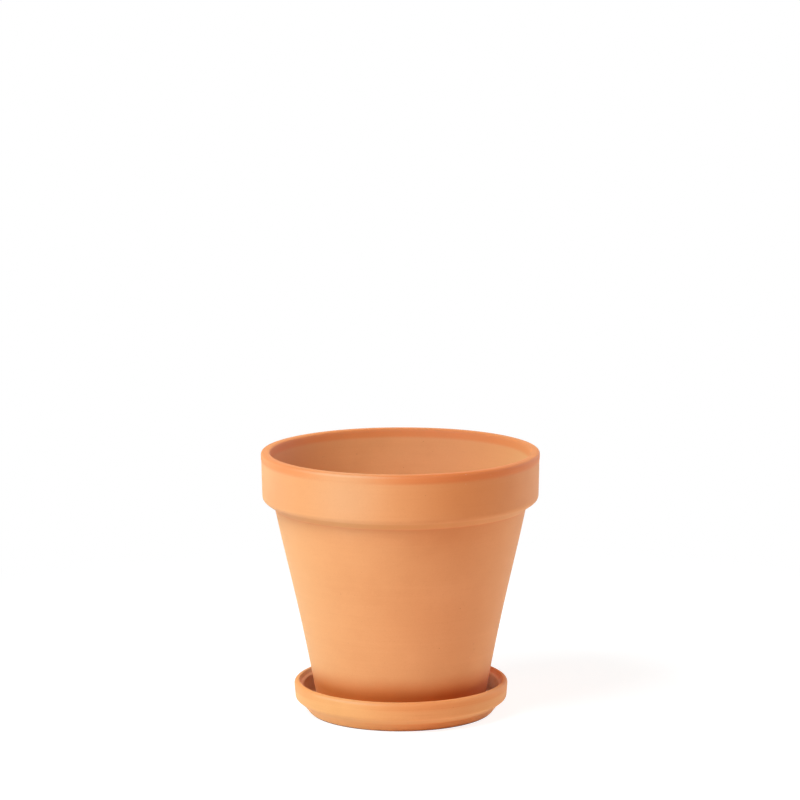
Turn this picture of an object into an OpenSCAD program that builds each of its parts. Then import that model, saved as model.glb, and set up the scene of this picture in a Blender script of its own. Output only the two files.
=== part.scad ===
// Terracotta flower pot with a collar rim, standing in its own saucer.
// Each is pressed and turned in one piece, so each solid is one outline revolved about Z.
// The saucer stands on Z = 0, the pot stands on the saucer's floor, and Z is the axis of both.

/* [Pot] */
// Diameter over the collar at its widest, near the lip
pot_d = 270.4; // [262:0.1:280]
// Height of the pot from its foot to its lip
pot_h = 248; // [240:1:260]
// Diameter of the foot
base_d = 162.5; // [158:0.5:166]
// Radius that the lower third of the body gains per millimetre of height
foot_slope = 0.192; // [0.18:0.002:0.2]
// Radius that the middle of the body gains per millimetre of height
body_slope = 0.23; // [0.22:0.002:0.236]
// Radius that the body gains per millimetre of height just under the collar
neck_slope = 0.212; // [0.2:0.002:0.22]

/* [Collar] */
// Height of the collar's outside, from its lower corner to the lip
collar_h = 45.9; // [40:0.1:50]
// How far the collar's underside rises from the body to its lower corner
collar_rise = 8.3; // [6:0.1:10]
// How far the collar's outside leans out from bottom to top
collar_lean = 1.15; // [0.5:0.05:2]
// Radius of the collar's lower corner
collar_round = 6.4; // [3:0.1:8]
// Height of the faint bead round the top of the collar
bead_h = 8; // [6:0.5:12]
// How far the bead stands out
bead_out = 0.35; // [0.05:0.05:0.6]

/* [Pot wall, floor and hole] */
// Thickness of the lip
lip_t = 8.8; // [8:0.1:11]
// Thickness of the wall just above the floor
foot_wall_t = 11; // [9:0.5:13]
// Thickness of the floor, down to the surface that the foot stands on
floor_t = 12; // [10:0.5:15]
// Radius between the wall and the floor inside
floor_round = 11; // [6:0.5:14]
// Diameter of the drainage hole
hole_d = 28; // [20:1:36]
// Depth of the hollow under the floor, inside the foot ring
foot_hollow = 2; // [1:0.5:3]
// Width of the foot ring that the pot stands on
foot_ring_w = 13; // [9:0.5:18]

/* [Saucer] */
// Diameter over the saucer's lip
saucer_d = 209.2; // [206:0.1:220]
// Height of the saucer
saucer_h = 31.4; // [30:0.1:35]
// Diameter of the saucer's foot, above its bevel
saucer_foot_d = 180.2; // [174:0.1:184]
// Width of the bevel round the bottom of the saucer's foot
foot_bevel_w = 2.6; // [1.5:0.1:3.5]
// Height of that bevel
foot_bevel_h = 0.9; // [0.5:0.1:1.5]
// Height of the saucer's floor above the ground, where the pot stands
saucer_floor_z = 9; // [8:0.5:10]
// Height of the crease where the foot meets the rim band
saucer_crease_z = 8.4; // [7:0.1:9]
// Height of the rim band's lower corner
rim_low_z = 14.2; // [12:0.1:16]
// How far the rim band stands out from the crease to its lower corner
rim_undercut = 7.4; // [5:0.1:8]
// How far the rim band leans out from bottom to top
rim_lean = 1.4; // [0.5:0.1:2.5]
// Height of the ledge inside the rim
ledge_z = 26.4; // [24:0.1:28]
// Width of the ledge inside the rim
ledge_w = 2.3; // [1:0.1:4]
// Thickness of the saucer's lip
saucer_lip_t = 5.2; // [5.2:0.1:6]
// Depth of the hollow under the saucer
saucer_hollow = 1.8; // [1:0.1:2.5]
// Width of the foot ring that the saucer stands on
saucer_ring_w = 10; // [7:0.5:14]

/* [Hidden] */
$fn = 180;

// Roundings
edge_round = 2.5;          // both edges of the pot's lip, its foot and the hole's mouth
crease_round = 3;          // between the pot's body and its collar
body_bend = 2200;          // the body's long, shallow curves between its slopes
rim_round = 3.8;           // outer edge of the saucer's lip and lower corner of its rim band
foot_round = 3;            // outer corner of the saucer's foot
floor_corner_round = 3;    // between the saucer's floor and wall
ledge_round = 1.5;         // both edges of the ledge inside the saucer's rim
small_round = 1;           // everything smaller
arc_step = 6;              // degrees between the points of an arc
least_arc_steps = 5;

// Pot, measured from its foot up
base_r = base_d / 2;
collar_low_z = pot_h - collar_h;
crease_z = collar_low_z - collar_rise;
low_bend_z = 0.428 * crease_z;
high_bend_z = 0.872 * crease_z;
low_bend_r = base_r + foot_slope * low_bend_z;
high_bend_r = low_bend_r + body_slope * (high_bend_z - low_bend_z);
crease_r = high_bend_r + neck_slope * (crease_z - high_bend_z);
lip_r = pot_d / 2;
collar_low_r = lip_r - collar_lean;
bead_z = pot_h - bead_h;
bead_blend = 1;            // height over which the bead runs out into the collar
inner_lip_r = lip_r - lip_t;
inner_floor_r = base_r + foot_slope * floor_t - foot_wall_t;
hole_r = hole_d / 2;
foot_ring_r = base_r - foot_ring_w;
hollow_bevel = 3;          // width of the slope at the edge of the hollow underneath

// Saucer, measured from the ground up
saucer_lip_r = saucer_d / 2;
rim_low_r = saucer_lip_r - rim_lean;
saucer_crease_r = rim_low_r - rim_undercut;
saucer_foot_r = saucer_foot_d / 2;
stand_r = saucer_foot_r - foot_bevel_w;
saucer_ring_r = stand_r - saucer_ring_w;
saucer_inner_r = saucer_lip_r - saucer_lip_t;
inner_lean = 1.8;          // how far the rim's inside leans in from the lip down to the ledge
ledge_drop = 1.4;          // how far the ledge falls towards the middle
ledge_outer_r = saucer_inner_r - inner_lean;
ledge_r = ledge_outer_r - ledge_w;
wall_slope = 0.2;          // radius that the wall below the ledge gains per millimetre of height
saucer_floor_r = ledge_r - wall_slope * (ledge_z - saucer_floor_z);

function unit(v) = v / norm(v);
function turned(v, a) = [v.x * cos(a) - v.y * sin(a), v.x * sin(a) + v.y * cos(a)];

// Points of a corner at b, on the way from a to c, rounded to radius r
function corner(a, b, c, r) =
    r == 0 ? [b] :
    let (
        back = unit(a - b),
        on = unit(c - b),
        half = acos(back * on) / 2,
        centre = b + unit(back + on) * r / sin(half),
        start = b + back * r / tan(half) - centre,
        sweep = (180 - 2 * half) * sign(cross(on, back)),
        steps = max(least_arc_steps, ceil(abs(sweep) / arc_step))
    )
    [for (i = [0 : steps]) centre + turned(start, sweep * i / steps)];

// Outline through corners given as [radius from the axis, height, rounding]
function rounded(corners) =
    let (n = len(corners), p = [for (c = corners) [c[0], c[1]]])
    [for (i = [0 : n - 1])
        each corner(p[(i + n - 1) % n], p[i], p[(i + 1) % n], corners[i][2])];

function pot_outline() = rounded([
    [hole_r, foot_hollow, small_round],
    [foot_ring_r - hollow_bevel, foot_hollow, small_round],
    [foot_ring_r, 0, small_round],
    [base_r, 0, edge_round],
    [low_bend_r, low_bend_z, body_bend],
    [high_bend_r, high_bend_z, body_bend],
    [crease_r, crease_z, crease_round],
    [collar_low_r, collar_low_z, collar_round],
    [lip_r - bead_out, bead_z, 0],
    [lip_r, bead_z + bead_blend, 0],
    [lip_r, pot_h, edge_round],
    [inner_lip_r, pot_h, edge_round],
    [inner_floor_r, floor_t, floor_round],
    [hole_r, floor_t, edge_round]
]);

function saucer_outline() = rounded([
    [0, saucer_hollow, 0],
    [saucer_ring_r - saucer_hollow, saucer_hollow, small_round],
    [saucer_ring_r, 0, small_round],
    [stand_r, 0, small_round],
    [saucer_foot_r, foot_bevel_h, foot_round],
    [saucer_crease_r, saucer_crease_z, small_round],
    [rim_low_r, rim_low_z, rim_round],
    [saucer_lip_r, saucer_h, rim_round],
    [saucer_inner_r, saucer_h, small_round],
    [ledge_outer_r, ledge_z + ledge_drop, ledge_round],
    [ledge_r, ledge_z, ledge_round],
    [saucer_floor_r, saucer_floor_z, floor_corner_round],
    [0, saucer_floor_z, 0]
]);

module pot() {
    color("#E2966A")
        translate([0, 0, saucer_floor_z])
            rotate_extrude()
                polygon(pot_outline());
}

module saucer() {
    color("#DE8F60")
        rotate_extrude()
            polygon(saucer_outline());
}

saucer();
pot();
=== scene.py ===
"""The terracotta pot and its saucer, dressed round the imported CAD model.

Each piece is turned again, with many more faces, from the outline of its own CAD solid. It then gets what a
potter's wheel and a kiln leave on clay: a trace of ovalness, turning marks, an uneven lip and a sandy skin.
Lengths are in metres and angles in radians, unless a name ends in _mm or _deg.
"""

import math

import bmesh
import bpy
import numpy as np
from mathutils import Matrix, Vector


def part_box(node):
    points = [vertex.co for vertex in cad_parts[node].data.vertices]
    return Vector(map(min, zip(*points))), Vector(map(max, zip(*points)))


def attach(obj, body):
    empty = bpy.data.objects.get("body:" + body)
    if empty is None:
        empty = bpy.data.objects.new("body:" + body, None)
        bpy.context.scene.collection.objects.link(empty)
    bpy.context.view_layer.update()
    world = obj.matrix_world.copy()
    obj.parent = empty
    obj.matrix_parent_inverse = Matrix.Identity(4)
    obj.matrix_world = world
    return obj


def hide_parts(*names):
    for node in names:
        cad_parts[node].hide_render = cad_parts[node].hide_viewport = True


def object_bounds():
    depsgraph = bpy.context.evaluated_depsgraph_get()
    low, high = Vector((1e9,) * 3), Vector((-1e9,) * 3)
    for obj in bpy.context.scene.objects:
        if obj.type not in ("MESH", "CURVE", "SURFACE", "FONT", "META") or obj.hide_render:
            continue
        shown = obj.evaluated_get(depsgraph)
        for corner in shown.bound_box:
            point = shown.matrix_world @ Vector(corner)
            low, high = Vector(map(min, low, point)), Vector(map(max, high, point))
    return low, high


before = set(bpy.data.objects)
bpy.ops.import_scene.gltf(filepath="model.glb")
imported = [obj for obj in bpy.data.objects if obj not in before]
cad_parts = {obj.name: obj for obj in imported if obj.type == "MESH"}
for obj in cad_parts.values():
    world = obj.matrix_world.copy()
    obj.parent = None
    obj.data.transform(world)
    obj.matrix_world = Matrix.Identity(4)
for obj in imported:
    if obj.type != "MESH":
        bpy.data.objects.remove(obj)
CAD_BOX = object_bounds()

MM = 0.001

# ---------------------------------------------------------------- camera

CAMERA_DISTANCE = 3.6008
CAMERA_HEIGHT = 0.898
CAMERA_SIDE = -0.00015
CAMERA_DOWN_DEG = 9.331
CAMERA_ROLL_DEG = -0.166
LENS_MM = 170.04
SENSOR_MM = 36.0


def make_camera():
    data = bpy.data.cameras.new("camera")
    data.lens = LENS_MM
    data.sensor_width = SENSOR_MM
    camera = bpy.data.objects.new("camera", data)
    camera.location = (CAMERA_SIDE, -CAMERA_DISTANCE, CAMERA_HEIGHT)
    aim = Matrix.Rotation(math.radians(90 - CAMERA_DOWN_DEG), 3, "X")
    roll = Matrix.Rotation(math.radians(CAMERA_ROLL_DEG), 3, "Z")
    camera.rotation_euler = (aim @ roll).to_euler()
    bpy.context.collection.objects.link(camera)
    bpy.context.scene.camera = camera


# ---------------------------------------------------------------- outlines

# An outline is an array of (radius, height) points, and these are its columns.
RADIUS, HEIGHT = 0, 1

SAME_PLACE = 1e-6
FINE_STEP = 0.2 * MM
SOFTNESS = 0.45 * MM  # how far an edge of fired clay is worn round
LONGEST_ROW = 2.3 * MM
SHARPEST_TURN = math.radians(9)


def cad_outline(node):
    """The outline of a turned CAD solid, from its section through the axis.

    It runs outwards along the underside, up the outside and back down the inside. The second result says
    whether it closes on itself, as round a solid with a hole along its axis.
    """
    section = bmesh.new()
    section.from_mesh(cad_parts[node].data)
    bmesh.ops.remove_doubles(section, verts=section.verts, dist=SAME_PLACE)
    for normal in ((0, 1, 0), (1, 0, 0)):
        everything = section.verts[:] + section.edges[:] + section.faces[:]
        bmesh.ops.bisect_plane(
            section, geom=everything, dist=SAME_PLACE, plane_co=(0, 0, 0), plane_no=normal, clear_inner=True
        )
    joined = {}
    for edge in section.edges:
        a, b = edge.verts
        in_plane = max(abs(a.co.y), abs(b.co.y)) < 2 * SAME_PLACE
        if edge.is_boundary and in_plane and max(a.co.x, b.co.x) > 2 * SAME_PLACE:
            joined.setdefault(a, []).append(b)
            joined.setdefault(b, []).append(a)
    ends = [v for v in joined if len(joined[v]) == 1]
    start = min(ends or joined, key=lambda v: (round(v.co.x, 5), v.co.z))
    path = [start]
    before, here = start, joined[start][0]
    while here is not start:
        path.append(here)
        onward = [v for v in joined[here] if v is not before]
        if not onward:
            break
        before, here = here, onward[0]
    points = np.array([(v.co.x, v.co.z) for v in path])
    section.free()
    after = np.roll(points, -1, axis=0)
    twice_area = np.sum(points[:, RADIUS] * after[:, HEIGHT] - after[:, RADIUS] * points[:, HEIGHT])
    if twice_area < 0:
        points = points[::-1]
    return points, not ends


def along(points):
    """Distance of each point from the first, along the line through them."""
    steps = np.hypot(*np.diff(points, axis=0).T)
    return np.concatenate([[0], np.cumsum(steps)])


def between(columns, places):
    """The columns' values at places, which count rows and may fall between them."""
    rows = np.arange(len(columns))
    return np.column_stack([np.interp(places, rows, column) for column in columns.T])


def softened(points, closed):
    """The outline in steps of about FINE_STEP, with its edges worn round."""
    if closed:
        points = np.vstack([points, points[:1]])
    done = along(points)
    wanted = np.linspace(0, done[-1], int(done[-1] / FINE_STEP), endpoint=not closed)
    fine = between(points, np.interp(wanted, done, np.arange(len(points))))
    reach = int(4 * SOFTNESS / FINE_STEP)
    steps_away = np.arange(-reach, reach + 1)
    weights = np.exp(-0.5 * (steps_away * FINE_STEP / SOFTNESS) ** 2)
    weights /= weights.sum()
    padded = np.pad(fine, ((reach, reach), (0, 0)), mode="wrap" if closed else "edge")
    soft = np.column_stack([np.convolve(column, weights, "valid") for column in padded.T])
    if not closed:
        soft[[0, -1]] = fine[[0, -1]]
    return soft


def bending(points, closed):
    """How sharply the outline bends at each point, in radians per metre. Convex is positive."""
    if closed:
        points = np.vstack([points[-1:], points, points[:1]])
    step = np.diff(points, axis=0)
    heading = np.unwrap(np.arctan2(step[:, HEIGHT], step[:, RADIUS]))
    bend = np.diff(heading) / np.hypot(*step[1:].T)
    return bend if closed else np.concatenate([[0], bend, [0]])


def rows_of(node):
    """The outline's rows for the lathe, how the clay bends at each, and whether the outline closes."""
    points, closed = cad_outline(node)
    soft = softened(points, closed)
    bend = bending(soft, closed)
    rows_per_metre = 1 / LONGEST_ROW + np.abs(bend) / SHARPEST_TURN
    rows_per_step = (rows_per_metre[1:] + rows_per_metre[:-1]) / 2 * np.diff(along(soft))
    rows_so_far = np.concatenate([[0], np.cumsum(rows_per_step)])
    wanted = np.linspace(0, rows_so_far[-1], int(rows_so_far[-1]) + 2)
    if closed:
        wanted = wanted[:-1]
    places = np.interp(wanted, rows_so_far, np.arange(len(soft)))
    chosen = between(np.column_stack([soft, bend]), places)
    return chosen[:, :2], chosen[:, 2], closed


# ---------------------------------------------------------------- turned pieces

SEGMENTS = 272
AXIS_ROW = 1e-5  # a row nearer the axis than this is one point

# Unevenness that a wheel and a kiln leave, as waves of (length along the outline, lobes round the piece)
OVAL_WAVES = [(0.9, 2), (1.3, 2), (0.7, 3)]
TURNING_WAVES = [(0.031, 0), (0.019, 0), (0.0127, 0), (0.0093, 0)]
LIP_WAVES = [(9.0, 2), (9.0, 3), (9.0, 5), (9.0, 7)]
OVAL_DEPTH = 0.12 * MM
OUTER_TURNING_DEPTH = 0.035 * MM
INNER_TURNING_DEPTH = 0.13 * MM
LIP_DEPTH = 0.14 * MM
LIP_REACH = 12 * MM

SHARP_BEND = 400  # radians per metre at which an edge counts as sharp
EDGE_BLUR = 5  # rows


def lathe(name, rows, closed):
    """A mesh turned from (radius, height) rows, with the row and the angle of each of its vertices."""
    angles = np.linspace(0, 2 * math.pi, SEGMENTS, endpoint=False)
    points, owners, rings = [], [], []
    for i, (radius, height) in enumerate(rows):
        around = angles if radius > AXIS_ROW else angles[:1]
        rings.append([len(points) + k for k in range(len(around))])
        points += [(radius * math.cos(a), radius * math.sin(a), height) for a in around]
        owners += [(i, a) for a in around]
    faces = []
    for i in range(len(rows) if closed else len(rows) - 1):
        low, high = rings[i], rings[(i + 1) % len(rows)]
        for k in range(SEGMENTS):
            j = (k + 1) % SEGMENTS
            if len(low) == 1:
                faces.append((low[0], high[j], high[k]))
            elif len(high) == 1:
                faces.append((low[k], low[j], high[0]))
            else:
                faces.append((low[k], low[j], high[j], high[k]))
    mesh = bpy.data.meshes.new(name)
    mesh.from_pydata(points, [], faces)
    mesh.shade_smooth()
    row, angle = np.array(owners).T
    return mesh, row.astype(int), angle


def ripple(place, angle, waves, seed):
    """A gentle unevenness from -1 to 1, at places along the outline and angles round it."""
    random = np.random.default_rng(seed)
    total = np.zeros_like(angle)
    for length, lobes in waves:
        phase, drift = random.uniform(0, 2 * math.pi, 2)
        strength = random.uniform(0.5, 1)
        wander = random.uniform(0.3, 1.1) * np.sin(angle + drift)
        total += strength * np.sin(2 * math.pi * place / length + lobes * angle + phase + wander)
    return total / len(waves)


def press_uneven(mesh, place, angle, seed):
    """Presses the unevenness into a turned mesh.

    It only goes inwards, so the mesh stays in the CAD solid's box.
    """
    count = len(mesh.vertices)
    at = np.empty(count * 3)
    normal = np.empty(count * 3)
    mesh.vertices.foreach_get("co", at)
    mesh.vertices.foreach_get("normal", normal)
    at = at.reshape(-1, 3)
    normal = normal.reshape(-1, 3)
    radial = np.column_stack([np.cos(angle), np.sin(angle), np.zeros(count)])
    facing_out = np.sum(normal * radial, axis=1)
    upright = np.abs(facing_out)

    oval = (1 + ripple(at[:, 2], angle, OVAL_WAVES, seed)) * OVAL_DEPTH * upright
    turning_depth = np.where(facing_out < 0, INNER_TURNING_DEPTH, OUTER_TURNING_DEPTH)
    turning = (1 + ripple(place, angle, TURNING_WAVES, seed + 1)) * turning_depth * upright**2
    near_lip = np.clip(1 - (at[:, 2].max() - at[:, 2]) / LIP_REACH, 0, 1) ** 2
    drop = (1 + ripple(0, angle, LIP_WAVES, seed + 2)) * LIP_DEPTH * near_lip

    at -= radial * oval[:, None]
    at -= normal * turning[:, None]
    at[:, 2] -= drop
    mesh.vertices.foreach_set("co", at.ravel())
    mesh.update()


def turned_piece(node, seed):
    """A dense, slightly uneven copy of a turned CAD node.

    Its attribute "edge" is 1 on a sharp outer edge of the outline and -1 in a sharp hollow.
    """
    rows, bend, closed = rows_of(node)
    mesh, row, angle = lathe("turned_" + node, rows, closed)
    press_uneven(mesh, along(rows)[row], angle, seed)
    kernel = np.hanning(EDGE_BLUR + 2)[1:-1]
    sharpness = np.pad(np.tanh(bend / SHARP_BEND), EDGE_BLUR // 2, mode="wrap")
    sharpness = np.convolve(sharpness, kernel / kernel.sum(), "valid")
    edge = mesh.attributes.new("edge", "FLOAT", "POINT")
    edge.data.foreach_set("value", sharpness[row].astype(np.float32))
    piece = bpy.data.objects.new("turned_" + node, mesh)
    bpy.context.collection.objects.link(piece)
    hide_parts(node)
    return piece


# ---------------------------------------------------------------- node trees

# Sockets of the Mix node when it mixes colours
MIX_FACTOR, MIX_A, MIX_B, MIX_RESULT = 0, 6, 7, 2


class Nodes:
    """Short calls for building the nodes of a material or a world. Functions take one of these as n."""

    def __init__(self, owner):
        owner.use_nodes = True
        self.tree = owner.node_tree
        self.tree.nodes.clear()

    def add(self, kind, inputs=None, **settings):
        """A new node. Each input is a value or the output socket that feeds it."""
        made = self.tree.nodes.new("ShaderNode" + kind)
        for key, value in settings.items():
            setattr(made, key, value)
        for key, value in (inputs or {}).items():
            if isinstance(value, bpy.types.NodeSocket):
                self.tree.links.new(value, made.inputs[key])
            else:
                made.inputs[key].default_value = value
        return made

    def ramp(self, value, low, high, to_low=0.0, to_high=1.0):
        """value, stretched smoothly from low..high to to_low..to_high and held there."""
        inputs = {"Value": value, "From Min": low, "From Max": high, "To Min": to_low, "To Max": to_high}
        return self.add("MapRange", inputs, interpolation_type="SMOOTHSTEP").outputs["Result"]

    def math(self, operation, a, b):
        return self.add("Math", {0: a, 1: b}, operation=operation).outputs["Value"]

    def times(self, a, b):
        return self.math("MULTIPLY", a, b)

    def z_of(self, vector):
        return self.add("SeparateXYZ", {"Vector": vector}).outputs["Z"]

    def distance(self, a, b):
        return self.add("VectorMath", {0: a, 1: b}, operation="DISTANCE").outputs["Value"]

    def tint(self, colour, towards, amount):
        """colour, moved towards another by amount."""
        inputs = {MIX_FACTOR: amount, MIX_A: colour, MIX_B: towards}
        return self.add("Mix", inputs, data_type="RGBA").outputs[MIX_RESULT]

    def deepen(self, colour, shares, amount):
        """colour, with each channel brought to its share of it, by amount."""
        inputs = {MIX_FACTOR: amount, MIX_A: colour, MIX_B: (*shares, 1)}
        return self.add("Mix", inputs, data_type="RGBA", blend_type="MULTIPLY").outputs[MIX_RESULT]

    def noise(self, place, scale, detail=2.0, roughness=0.5, squash=(1, 1, 1)):
        """Noise from 0 to 1 at a place. scale is how many lumps there are to a metre."""
        where = self.add("Mapping", {"Vector": place, "Scale": squash}).outputs["Vector"]
        inputs = {"Vector": where, "Scale": scale, "Detail": detail, "Roughness": roughness}
        return self.add("TexNoise", inputs).outputs["Fac"]

    def dots(self, place, scale, size, share):
        """Sparse round dots, 1 in the middle.

        scale is how many cells there are to a metre, size is a dot's radius in cells, and share is how many
        of the cells have a dot.
        """
        cells = self.add("TexVoronoi", {"Vector": place, "Scale": scale}, feature="F1")
        near = self.ramp(cells.outputs["Distance"], size, size * 0.45)
        chance = self.add("SeparateColor", {"Color": cells.outputs["Color"]}).outputs["Red"]
        return self.times(near, self.ramp(chance, 1 - share, 1 - share * 0.7))

    def glow(self, colour, strength):
        return self.add("Emission", {"Color": colour, "Strength": strength}).outputs["Emission"]


# ---------------------------------------------------------------- clay

# Linear colours of the two clays as fired, and of lime that water leaves, as a thin film and as a bloom
POT_CLAY = (0.79, 0.352, 0.138, 1)
SAUCER_CLAY = (0.81, 0.376, 0.135, 1)
LIME = (0.93, 0.74, 0.56, 1)
BLOOM = (0.94, 0.83, 0.80, 1)

# Shades of a clay, as shares of the channels of its colour
DEEP = (0.90, 0.82, 0.74)
PALE = (1.08, 1.16, 1.28)
# The next two are painted shade: darker clay in hollows and on faces that turn down, where less light
# reaches
PAINTED_SHADE_IN_CREASE = (1.00, 0.91, 0.88)
PAINTED_SHADE_ON_UNDERSIDE = (0.93, 0.85, 0.70)
DARK_SPECK = (0.60, 0.46, 0.36)
PIT = (0.45, 0.30, 0.22)

# Where the painted shade in creases and on undersides, and the worn edges, begin and are full: creases and
# edges by the attribute "edge", and undersides by how far a face is turned up
CREASE_START, CREASE_FULL = -0.05, -0.70
UNDERSIDE_START, UNDERSIDE_FULL = -0.74, -0.83
WORN_START, WORN_FULL = 0.65, 0.95


def shade(colour, shares):
    """A colour with each channel brought to its share of it."""
    return (*(channel * share for channel, share in zip(colour, shares)), 1)


def clay(node, base, streaking, wear, stains_and_painted_light, seed):
    """Fired, unglazed clay: clouded, streaked by turning, sandy, with pits, specks and worn, pale edges,
    and painted shade in creases and on faces that turn down.

    Its stains function, called as (n, place, facing_up, colour), returns the colour with stains and with
    painted light and shade.
    """
    material = bpy.data.materials.new("clay_" + node)
    n = Nodes(material)
    coordinates = n.add("TexCoord").outputs
    object_place = coordinates["Object"]
    facing_up = n.z_of(coordinates["Normal"])
    shift = (seed * 0.37, seed * 0.71, seed * 0.13)
    place = n.add("Mapping", {"Vector": object_place, "Location": shift}).outputs["Vector"]

    clouds = n.noise(place, 10, detail=4, roughness=0.55)
    streaks = n.noise(place, 5, detail=5, roughness=0.6, squash=(1, 1, 46))
    fine_streaks = n.noise(place, 14, detail=3, roughness=0.6, squash=(1, 1, 60))
    sand = n.noise(place, 620, detail=3, roughness=0.65)
    grain = n.noise(place, 2300, detail=2, roughness=0.6)
    pits = n.dots(place, 150, 0.085, 0.05)
    dark_specks = n.dots(place, 260, 0.11, 0.04)
    lime_specks = n.dots(place, 210, 0.10, 0.03)
    edge = n.add("Attribute", attribute_name="edge").outputs["Fac"]

    deep, pale = shade(base, DEEP), shade(base, PALE)
    # (what varies, where the shade starts, where it is full, shade, strength)
    variations = [
        (clouds, 0.50, 0.75, deep, 0.55),
        (clouds, 0.50, 0.25, pale, 0.45),
        (streaks, 0.50, 0.72, pale, 0.45 * streaking),
        (fine_streaks, 0.50, 0.72, deep, 0.50 * streaking),
        (sand, 0.52, 0.80, deep, 0.45),
        (sand, 0.46, 0.22, pale, 0.35),
    ]
    colour = base
    for varying, start, full, towards, strength in variations:
        colour = n.tint(colour, towards, n.ramp(varying, start, full, 0, strength))
    # Painted shade in creases and on faces that turn down
    colour = n.deepen(colour, PAINTED_SHADE_IN_CREASE, n.ramp(edge, CREASE_START, CREASE_FULL))
    colour = n.deepen(colour, PAINTED_SHADE_ON_UNDERSIDE, n.ramp(facing_up, UNDERSIDE_START, UNDERSIDE_FULL))
    # Stains, and painted light and shade
    colour = stains_and_painted_light(n, object_place, facing_up, colour)
    colour = n.tint(colour, LIME, n.ramp(edge, WORN_START, WORN_FULL, 0, wear))
    for dots, towards, strength in (
        (dark_specks, shade(base, DARK_SPECK), 0.45),
        (lime_specks, LIME, 0.45),
        (pits, shade(base, PIT), 0.55),
    ):
        colour = n.tint(colour, towards, n.times(dots, strength))

    bumps = n.times(sand, 0.55)
    for height, strength in ((grain, 0.30), (fine_streaks, 0.55 * streaking), (pits, -2.2)):
        bumps = n.math("ADD", bumps, n.times(height, strength))
    bump = n.add("Bump", {"Height": bumps, "Strength": 0.28, "Distance": 0.12 * MM})

    shader = n.add("BsdfPrincipled", {
        "Base Color": colour,
        "Roughness": n.ramp(sand, 0.3, 0.7, 0.76, 0.64),
        "Normal": bump.outputs["Normal"],
        "Diffuse Roughness": 0.9,
        "IOR": 1.5,
        "Specular IOR Level": 0.30,
        "Sheen Weight": 0.06,
        "Sheen Roughness": 0.4,
    })
    n.add("OutputMaterial", {"Surface": shader.outputs["BSDF"]})
    return material


# ---------------------------------------------------------------- what firing and use leave on the clay, and painted light and shade

# Soft round patches are given as (centre, reach), and bands as (start, full, fading, end).

# Painted light and shade, as paler and deeper patches: (centre, reach, shares that its colour comes to)
PAINTED_LIGHT_PATCHES = {
    "pot": [
        # pot: painted shade on the collar's far left, a painted highlight on its front left where the key
        # light falls, a painted shadow on its front right, and painted shade on the body's front right
        ((-0.125, -0.055, 0.235), 70 * MM, (0.97, 0.93, 0.98)),
        ((-0.052, -0.124, 0.234), 55 * MM, (1.00, 1.12, 1.31)),
        ((0.060, -0.121, 0.238), 108 * MM, (0.92, 0.76, 0.61)),
        ((0.042, -0.090, 0.125), 110 * MM, (0.98, 0.90, 0.85)),
    ],
    "saucer": [
        # saucer: a painted highlight on the front left, painted shade on the front right
        ((-0.064, -0.083, 0.020), 60 * MM, (1.02, 1.08, 1.10)),
        ((0.030, -0.100, 0.020), 70 * MM, (0.98, 0.88, 0.84)),
    ],
}

# The darkened lip, partly a stain from hands and partly painted shade, by how far a place is below it
LIP_FADING, LIP_END = 6.5 * MM, 10.5 * MM
LIP_TOP, LIP_SIDE = 0.5 * MM, 2 * MM
PAINTED_LIT_ON_TOP = 0.3  # of the painted lighting on the lip's side, the share on its top
# The paler line: rubbed wear all round, with a painted highlight where the lip is painted lit
RUBBED_AND_HIGHLIGHT_BAND = (0.8 * MM, 1.8 * MM, 2.6 * MM, 4 * MM)
RUBBED, RUBBED_AND_PAINTED_HIGHLIGHT = 0.02, 0.14

# How the darkened lip deepens each channel, and where each lip is painted lit, with its darkening lifted
# and a painted highlight
POT_LIP_STAIN_AND_SHADE = (1.00, 0.77, 0.62)
POT_LIP_PAINTED_LIT = ((-0.052, -0.117, 0.257), 75 * MM)
SAUCER_LIP = (0.99, 0.88, 0.80)
SAUCER_LIP_PAINTED_LIT = ((-0.055, -0.088, 0.0314), 65 * MM)

# Painted shade on the pot's foot, where the saucer's rim keeps light off it, by height. Its edge wanders,
# and less of it shows inside, where faces turn up.
POT_FOOT_SHADE = (0.88, 0.51, 0.24)
FOOT_SHADE_FADING, FOOT_SHADE_END = 33 * MM, 59 * MM
FOOT_SHADE_WANDER = 8 * MM
FOOT_SHADE_INSIDE = 0.3

# Painted shade on the saucer's foot at its front right, by height
SAUCER_FOOT_SHADE = (0.96, 0.76, 0.62)
SAUCER_FOOT_SHADE_PATCH = ((0.05, -0.075, 0), 120 * MM)
SAUCER_FOOT_SHADE_START, SAUCER_FOOT_SHADE_FULL = 11 * MM, 7 * MM

# The inside of the saucer begins this far in from the outside of its lip
INSIDE_START, INSIDE_FULL = 4.6 * MM, 5.6 * MM
# The painted shade on its ledge, where the lip shades it, its lime and its bloom, by how far a place is
# below the lip
LEDGE_SHADE = (0.90, 0.78, 0.80)
LEDGE_SHADE_BAND = (2.5 * MM, 3.5 * MM, 5 * MM, 6.5 * MM)
LIME_START, LIME_FULL = 5 * MM, 6.5 * MM
LIME_ON_RIM, LIME_IN_BOWL = 0.12, 0.40
LIME_GAPS = 0.45  # how much of it there is in its thinnest clouds
BLOOM_PATCH = ((0.095, 0.03, 0.02), 100 * MM)
BLOOM_START, BLOOM_FULL = 2 * MM, 7 * MM
BLOOM_ON_LIP = 0.2
BLOOM_HIDES_LEDGE_SHADE = 0.3  # as much bloom as this, and the ledge has no painted shade


def below(n, place, height):
    """How far below a height each place is."""
    return n.math("SUBTRACT", height, n.z_of(place))


def patch(n, place, centre, reach):
    """A soft round patch, 1 at its centre and 0 from its reach outwards."""
    return n.ramp(n.distance(place, centre), 0, reach, 1, 0)


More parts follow.
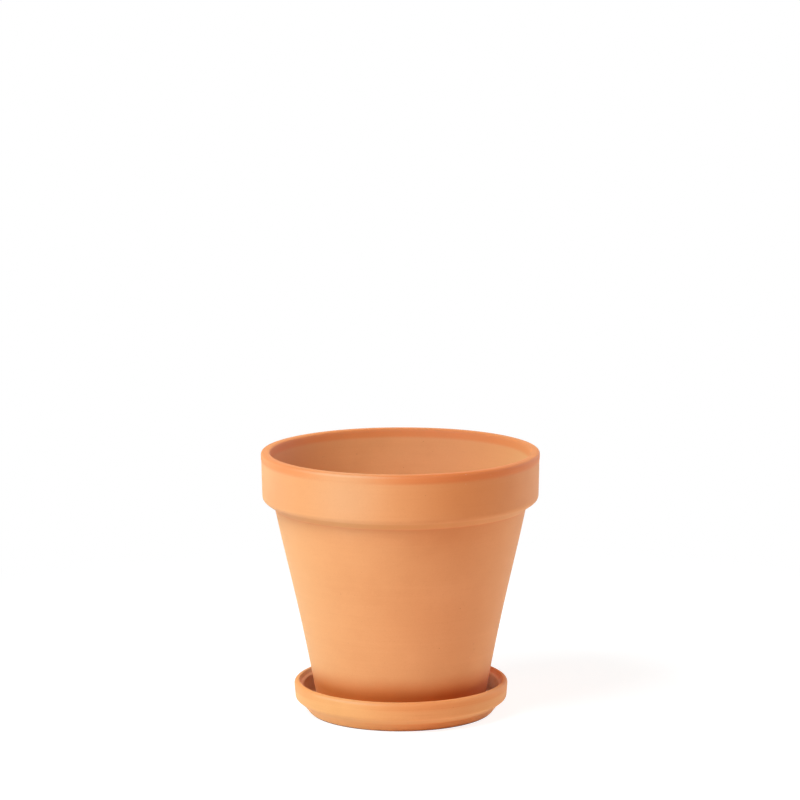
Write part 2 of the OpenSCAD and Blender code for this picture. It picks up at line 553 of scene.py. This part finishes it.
def band(n, value, start, full, fading, end):
    """1 where value is between full and fading, and 0 beyond start and end."""
    return n.times(n.ramp(value, start, full), n.ramp(value, fading, end, 1, 0))


def with_painted_light_patches(n, place, colour, node):
    """The colour with the node's painted highlights and painted shade, as paler and deeper patches."""
    for centre, reach, shares in PAINTED_LIGHT_PATCHES[node]:
        colour = n.deepen(colour, shares, patch(n, place, centre, reach))
    return colour


def rim_stain_and_painted_light(n, colour, down, shares, painted_lit):
    """Darkens the lip and the clay just under it, partly as a stain from hands and partly as painted shade,
    and adds a paler line.

    down is how far below the lip a place is. Where the lip is painted lit, its darkening is lifted and the
    line is painted stronger, as a highlight.
    """
    painted_lit_share = n.times(painted_lit, n.ramp(down, LIP_TOP, LIP_SIDE, PAINTED_LIT_ON_TOP, 1))
    darkened = n.times(n.ramp(down, LIP_FADING, LIP_END, 1, 0), n.math("SUBTRACT", 1, painted_lit_share))
    colour = n.deepen(colour, shares, darkened)
    strength = n.ramp(painted_lit, 0, 1, RUBBED, RUBBED_AND_PAINTED_HIGHLIGHT)
    return n.tint(colour, LIME, n.times(band(n, down, *RUBBED_AND_HIGHLIGHT_BAND), strength))


def pot_stains_and_painted_light(n, place, facing_up, colour):
    """Painted shade makes the pot darker and redder towards its foot, where the saucer's rim keeps light
    off it. Its lip is darkened, partly by hands and partly as painted shade, and it gets its painted
    highlights and shade.
    """
    height = n.math("ADD", n.z_of(place), n.times(n.noise(place, 18), FOOT_SHADE_WANDER))
    foot_shade = n.ramp(height, FOOT_SHADE_FADING, FOOT_SHADE_END, 1, 0)
    foot_shade = n.times(foot_shade, n.ramp(facing_up, -0.1, 0.1, 1, FOOT_SHADE_INSIDE))
    colour = n.deepen(colour, POT_FOOT_SHADE, foot_shade)
    colour = with_painted_light_patches(n, place, colour, "pot")
    down = below(n, place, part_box("pot")[1].z)
    return rim_stain_and_painted_light(n, colour, down, POT_LIP_STAIN_AND_SHADE, patch(n, place, *POT_LIP_PAINTED_LIT))


def saucer_stains_and_painted_light(n, place, facing_up, colour):
    """Painted shade deepens the saucer's foot at its front right and its ledge, and water has left lime and
    a bloom inside. It also gets its painted highlights and shade, and its darkened lip.
    """
    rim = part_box("saucer")[1]
    down = below(n, place, rim.z)
    colour = with_painted_light_patches(n, place, colour, "saucer")
    foot = n.ramp(n.z_of(place), SAUCER_FOOT_SHADE_START, SAUCER_FOOT_SHADE_FULL)
    colour = n.deepen(colour, SAUCER_FOOT_SHADE, n.times(foot, patch(n, place, *SAUCER_FOOT_SHADE_PATCH)))
    colour = rim_stain_and_painted_light(n, colour, down, SAUCER_LIP, patch(n, place, *SAUCER_LIP_PAINTED_LIT))

    across = n.add("VectorMath", {0: place, 1: (1, 1, 0)}, operation="MULTIPLY").outputs["Vector"]
    radius = n.add("VectorMath", {0: across}, operation="LENGTH").outputs["Value"]
    inside = n.ramp(radius, rim.x - INSIDE_FULL, rim.x - INSIDE_START, 1, 0)
    inside = n.times(inside, n.ramp(facing_up, -0.05, 0.1))
    cloudy = n.times(n.ramp(n.noise(place, 60, detail=4), 0.3, 0.7, LIME_GAPS, 1), inside)
    limed = n.ramp(down, LIME_START, LIME_FULL, LIME_ON_RIM, LIME_IN_BOWL)
    colour = n.tint(colour, LIME, n.times(limed, cloudy))
    bloomed = patch(n, place, *BLOOM_PATCH)
    bloomed = n.times(bloomed, n.ramp(down, BLOOM_START, BLOOM_FULL, BLOOM_ON_LIP, 1))
    # Painted shade on the ledge, where the lip shades it
    ledge = n.times(band(n, down, *LEDGE_SHADE_BAND), inside)
    ledge = n.times(ledge, n.ramp(bloomed, 0, BLOOM_HIDES_LEDGE_SHADE, 1, 0))
    colour = n.deepen(colour, LEDGE_SHADE, ledge)
    return n.tint(colour, BLOOM, n.times(bloomed, cloudy))


# ---------------------------------------------------------------- floor and light

FLOOR_SIZE = 12.0
FLOOR_COLOUR = (0.90, 0.90, 0.90, 1)
# Light that the floor sends back onto the object, as a white table lit all over does
FLOOR_GLOW = 0.36
GLOW_COLOUR = (1.0, 0.95, 0.86, 1)
SHADE_CENTRE = (0.012, 0.006, 0)  # beside the object, on the side that the key light leaves in the shade
GLOW_START = 0.088  # nearer than this to SHADE_CENTRE, the object keeps that light off the floor
GLOW_FULL = 0.115  # farther than this, all of it is there
# The floor that the camera sees glows too, which keeps the shadow on it faint
SHADOW_COLOUR = (0.35, 0.345, 0.34, 1)
SHADOW_GLOW = 0.82
SHADOW_REACH = 0.35  # as far as this from SHADE_CENTRE, the camera sees the shadow in full
SHADOW_END = 0.80  # farther than this, the camera sees plain white
# The dark line where the object stands on the floor: its reach, and how open the floor is in it and
# beside it
CONTACT_REACH = 0.6 * MM
CONTACT_DARK, CONTACT_CLEAR = 0.30, 0.75
BLACK = (0, 0, 0, 1)
WHITE = (1, 1, 1, 1)
WORLD_STRENGTH = 0.05

# name: (degrees round from the camera's side, degrees up, distance, size, watts, colour)
SOFTBOXES = {
    "key": (-51, 46, 2.2, 1.3, 54, (0.80, 1.03, 1.11)),
    "front": (15, 35, 2.2, 1.2, 9.2, (1.19, 0.75, 0.53)),
    "back": (124, 16, 2.2, 1.2, 27, (0.96, 0.98, 1.0)),
}


def seen(n):
    """1 where the camera looks at something, straight or in a gloss or a glass."""
    path = n.add("LightPath").outputs
    either = n.math("MAXIMUM", path["Is Camera Ray"], path["Is Glossy Ray"])
    return n.math("MAXIMUM", either, path["Is Transmission Ray"])


def make_floor():
    """A white floor. The camera sees plain white, with the object's shadow left in."""
    bpy.ops.mesh.primitive_plane_add(size=FLOOR_SIZE, location=(0, 0, CAD_BOX[0].z))
    floor = bpy.context.object
    floor.name = "floor"
    material = bpy.data.materials.new("white_floor")
    n = Nodes(material)
    lit = n.add("BsdfDiffuse", {"Color": FLOOR_COLOUR}).outputs["BSDF"]
    far = n.distance(n.add("TexCoord").outputs["Object"], SHADE_CENTRE)
    glow = n.glow(GLOW_COLOUR, n.ramp(far, GLOW_START, GLOW_FULL, 0, FLOOR_GLOW))
    table = n.add("AddShader", {0: lit, 1: glow}).outputs["Shader"]

    openness = n.add("AmbientOcclusion", {"Distance": CONTACT_REACH}, samples=8).outputs["AO"]
    clear = n.ramp(openness, CONTACT_DARK, CONTACT_CLEAR)
    shadow = n.add("BsdfDiffuse", {"Color": n.tint(BLACK, SHADOW_COLOUR, clear)}).outputs["BSDF"]
    glow = n.glow(WHITE, n.times(clear, SHADOW_GLOW))
    shadowed = n.add("AddShader", {0: shadow, 1: glow}).outputs["Shader"]
    plain = n.ramp(far, SHADOW_REACH, SHADOW_END)
    picture = n.add("MixShader", {0: plain, 1: shadowed, 2: n.glow(WHITE, 1.0)}).outputs["Shader"]

    both = n.add("MixShader", {0: seen(n), 1: table, 2: picture}).outputs["Shader"]
    n.add("OutputMaterial", {"Surface": both})
    floor.data.materials.append(material)


def make_world():
    """Even white light from all round. The camera sees plain white."""
    world = bpy.data.worlds.new("studio")
    bpy.context.scene.world = world
    n = Nodes(world)
    dim = n.add("Background", {"Color": WHITE, "Strength": WORLD_STRENGTH}).outputs["Background"]
    white = n.add("Background", {"Color": WHITE, "Strength": 1.0}).outputs["Background"]
    both = n.add("MixShader", {0: seen(n), 1: dim, 2: white}).outputs["Shader"]
    n.add("OutputWorld", {"Surface": both})


def make_softbox(name, azimuth_deg, elevation_deg, distance, size, watts, colour):
    """A square area light that faces the middle of the object.

    Azimuth 0 is on the camera's side, and 90 is to the camera's right.
    """
    centre = (CAD_BOX[0] + CAD_BOX[1]) / 2
    turn, lift = math.radians(azimuth_deg), math.radians(elevation_deg)
    away = Vector((math.sin(turn) * math.cos(lift), -math.cos(turn) * math.cos(lift), math.sin(lift)))
    data = bpy.data.lights.new(name, "AREA")
    data.size = size
    data.energy = watts
    data.color = colour
    light = bpy.data.objects.new(name, data)
    light.location = centre + away * distance
    light.rotation_euler = away.to_track_quat("Z", "Y").to_euler()
    bpy.context.collection.objects.link(light)


# ---------------------------------------------------------------- the scene

make_camera()
make_world()
make_floor()
for name, settings in SOFTBOXES.items():
    make_softbox(name, *settings)

# node: (clay colour, how strongly it is streaked, how pale its edges are worn, stains and painted light and
# shade, seed)
PIECES = {
    "pot": (POT_CLAY, 0.25, 0.0, pot_stains_and_painted_light, 3),
    "saucer": (SAUCER_CLAY, 0.7, 0.08, saucer_stains_and_painted_light, 11),
}
for node, (base, streaking, wear, stains_and_painted_light, seed) in PIECES.items():
    piece = turned_piece(node, seed)
    piece.data.materials.append(clay(node, base, streaking, wear, stains_and_painted_light, seed))
    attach(piece, node)

bpy.context.scene.view_settings.view_transform = "Standard"
